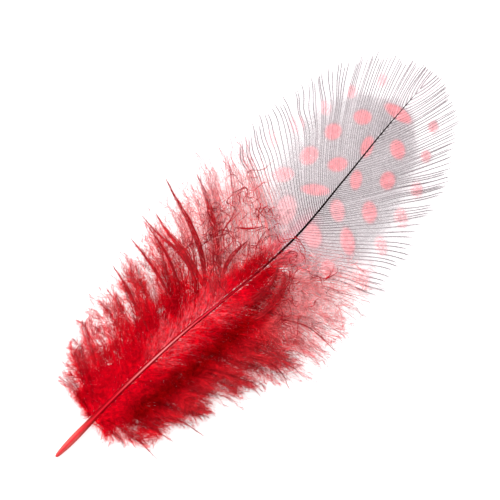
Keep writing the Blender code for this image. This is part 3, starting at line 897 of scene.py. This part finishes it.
def make_mat(side, material):
    """The short soft barbs that lie close along the shaft and hide the roots of the rest."""
    draw = seeded("mat", side)
    strands = Strands()
    roots = draw.uniform(*MAT_ROOTS, MAT_BARBS)
    keep = draw.random(MAT_BARBS) < through([(9, 1), (46, 1), (50, 0.7), (55, 0.2)], roots)
    roots = roots[keep]
    count = len(roots)
    start = shaft_point(roots)
    heading = shaft_heading(roots)
    sign = SIDES[side]
    offset = draw.uniform(0.2, 1.0, count) ** 1.5 * 3.2 * (1 - 0.5 * ramp(38, 50, roots))
    start[:, 0] -= np.sin(heading) * sign * offset
    start[:, 1] += np.cos(heading) * sign * offset
    start[:, 2] += 0.2 - 0.05 * offset + draw.uniform(-0.5, 0.25, count)
    start[:, 2] += 0.35 * ramp(36, 42, roots)
    angle = heading + sign * np.radians(draw.normal(36, 14, count))
    way = np.stack([np.cos(angle), np.sin(angle), -0.06 * np.ones(count)], 1)
    line = walk(start, way, way, draw.uniform(1.5, 4.2, count), 3, 0.2, 0.1, draw, 0.2, "mat")
    widths, across = loose_ribbons(line, MAT_WIDTH, (0.7, 1, 0.7, 0), (0.4, 0.4, 1), draw)
    colour = down_colour(line, np.zeros((count, 4)), draw.uniform(0.8, 1.2, (count, 1, 1)))
    keep_above(line, 0.05)
    # Painted sheen: many of the short strands beside the middle of the shaft are paler
    pale = (draw.random(count) < 0.6) * ramp(22, 28, roots) * (1 - ramp(38, 44, roots))
    colour = mix(colour, PALE_RED, np.repeat(pale[:, None], 4, 1) * 0.6)
    strands.ribbons(line, widths, across, colour)
    strands.build(f"mat_{side}", material)


def make_fill(side, material):
    """Short curling barbs that close the gaps in the down and make its fold dense."""
    draw = seeded("fill", side)
    strands = Strands()
    count, low, high, near, far = FILL[side]
    x = draw.uniform(low, high, count)
    off = draw.uniform(near, far, count)
    # It thins out towards the vane, beside the quill and, on the left, along its lowest part
    keep = draw.random(count) < 1 - 0.8 * ramp(high - 12, high, x + np.maximum(off - 7, 0))
    keep &= draw.random(count) < ramp(0, 1, (x - 9.5) / off)
    if side == "left":
        keep &= draw.random(count) < 0.55 + 0.45 * ramp(22, 28, x)
    x, off = x[keep], off[keep]
    count = len(x)
    start = on_down(side, x, off)
    start[:, 2] = np.maximum(start[:, 2] - draw.uniform(0.1, 2.6, count), 0.1)
    angle = SIDES[side] * np.radians(draw.normal(60, 28, count))
    way = np.stack([np.cos(angle), np.sin(angle), 0.25 * draw.normal(size=count)], 1)
    line = walk(start, way, way, draw.uniform(1.8, 3.8, count), 3, 0.15, 0.15, draw, swirl=0.6)
    keep_above(line, 0.05)
    widths, across = loose_ribbons(line, FILL_WIDTH, (0.6, 1, 0.8, 0), (0.6, 0.6, 1), draw)
    colour = down_colour(line, np.full((count, 4), 0.4), draw.uniform(0.75, 1.2, (count, 1, 1)))
    strands.ribbons(line, widths, across, colour)
    strands.build(f"fill_{side}", material)


def make_shaft(material):
    """The quill and the shaft, dark red at the edges, with a paler painted highlight on top that fades up the
    feather.
    """
    strands = Strands()
    sides, rings = 24, 130
    along = np.concatenate([[0, 0.15, 0.5, 1.2], np.linspace(2, SHAFT_LENGTH - 4, rings), [SHAFT_LENGTH]])
    radii = through(SHAFT_RADIUS, along)[None]
    radii[0, :4] *= (0.2, 0.7, 0.95, 1)
    edge = mix(LOW_EDGE, EDGE_IN_DOWN, ramp(37, 42, along))
    edge = mix(edge, DARK_EDGE, ramp(45, 53, along))
    edge = mix(edge, BLACK_EDGE, ramp(50, 60, along))
    edge = mix(QUILL_EDGE, edge, ramp(4, 11, along))
    # Painted highlight: the top of the tube is paler, where light would catch it
    highlight = mix(LOW_HIGHLIGHT, PALE_HIGHLIGHT, ramp(15, 26, along))
    highlight = mix(highlight, HIGHLIGHT_IN_DOWN, ramp(29, 37, along))
    highlight = mix(highlight, edge, ramp(38, 43, along))
    strands.tubes(shaft_point(along)[None], radii, edge[None], sides=sides)
    # The tube's points go round the shaft from the top, so the painted highlight is on the first ones on each
    # side of it
    turns = np.cos(np.arange(sides) * 2 * math.pi / sides)
    paint = edge[:-1, None] + (highlight - edge)[:-1, None] * ramp(0.945, 1, turns)[:, None]
    strands.colours[-1][: paint.size // 3] = paint.reshape(-1, 3)
    strands.build("shaft", material)


def fibre_material(name):
    """A strand's finish: the dye at each point, broken up by a fine noise."""
    roughness, grain, shine = FINISHES[name]
    made = bpy.data.materials.new(name)
    made.use_nodes = True
    nodes, links = made.node_tree.nodes, made.node_tree.links
    shader = nodes["Principled BSDF"]
    dye = nodes.new("ShaderNodeAttribute")
    dye.attribute_name = "dye"
    place = nodes.new("ShaderNodeTexCoord")
    noise = nodes.new("ShaderNodeTexNoise")
    noise.inputs["Scale"].default_value = GRAIN_SCALE
    noise.inputs["Detail"].default_value = 3
    level = nodes.new("ShaderNodeMapRange")
    for end, value in {"From Min": 0.3, "From Max": 0.7, "To Min": 1 - grain, "To Max": 1 + grain}.items():
        level.inputs[end].default_value = value
    tint = nodes.new("ShaderNodeVectorMath")
    tint.operation = "SCALE"
    links.new(place.outputs["Object"], noise.inputs["Vector"])
    links.new(noise.outputs["Fac"], level.inputs["Value"])
    links.new(dye.outputs["Color"], tint.inputs[0])
    links.new(level.outputs["Result"], tint.inputs["Scale"])
    links.new(tint.outputs["Vector"], shader.inputs["Base Color"])
    shader.inputs["Roughness"].default_value = roughness
    shader.inputs["Specular IOR Level"].default_value = shine
    return made


def make_floor():
    bpy.ops.mesh.primitive_plane_add(size=FLOOR_SIZE)
    floor = bpy.context.object
    floor.name = "floor"
    paint = bpy.data.materials.new("floor_white")
    paint.use_nodes = True
    shader = paint.node_tree.nodes["Principled BSDF"]
    shader.inputs["Base Color"].default_value = FLOOR_TONE
    shader.inputs["Roughness"].default_value = 0.9
    shader.inputs["Specular IOR Level"].default_value = 0.1
    shader.inputs["Emission Color"].default_value = (1, 1, 1, 1)
    shader.inputs["Emission Strength"].default_value = FLOOR_GLOW
    floor.data.materials.append(paint)


def place_of(along, sideways, height):
    return ((along - LENGTH / 2) * MM, (sideways - MIDDLE) * MM, height * MM)


def make_camera():
    data = bpy.data.cameras.new("camera")
    data.lens = LENS
    data.sensor_width = SENSOR
    data.clip_start = 0.01
    camera = bpy.data.objects.new("camera", data)
    bpy.context.scene.collection.objects.link(camera)
    distance = PICTURE_WIDTH * LENS / SENSOR
    along, sideways, height = PICTURE_MIDDLE
    place = Matrix.Translation(place_of(along, sideways, height + distance))
    camera.matrix_world = place @ Matrix.Rotation(-ROLL, 4, "Z")
    bpy.context.scene.camera = camera


def make_light():
    world = bpy.data.worlds.new("studio")
    world.use_nodes = True
    world.node_tree.nodes["Background"].inputs["Color"].default_value = (1, 1, 1, 1)
    world.node_tree.nodes["Background"].inputs["Strength"].default_value = SKY
    bpy.context.scene.world = world
    data = bpy.data.lights.new("window", "AREA")
    data.shape = "DISK"
    data.size = WINDOW_SIZE
    data.energy = WINDOW_POWER
    light = bpy.data.objects.new("window", data)
    bpy.context.scene.collection.objects.link(light)
    # It shines onto the middle of the feather
    light.location = WINDOW_PLACE
    light.rotation_euler = (-light.location).to_track_quat("-Z", "Y").to_euler()


def main():
    make_camera()
    make_light()
    make_floor()
    down = fibre_material("dyed_down")
    vane = fibre_material("vane_fibre")
    shaft = fibre_material("shaft_horn")
    make_shaft(shaft)
    for side in SIDES:
        make_vane(side, vane)
        for layer in LAYERS:
            make_down(side, layer, down)
        make_mat(side, down)
        make_fill(side, down)
        make_hairs(side, down)
        make_curls(side, down)
    bpy.context.scene.view_settings.view_transform = "Standard"


main()
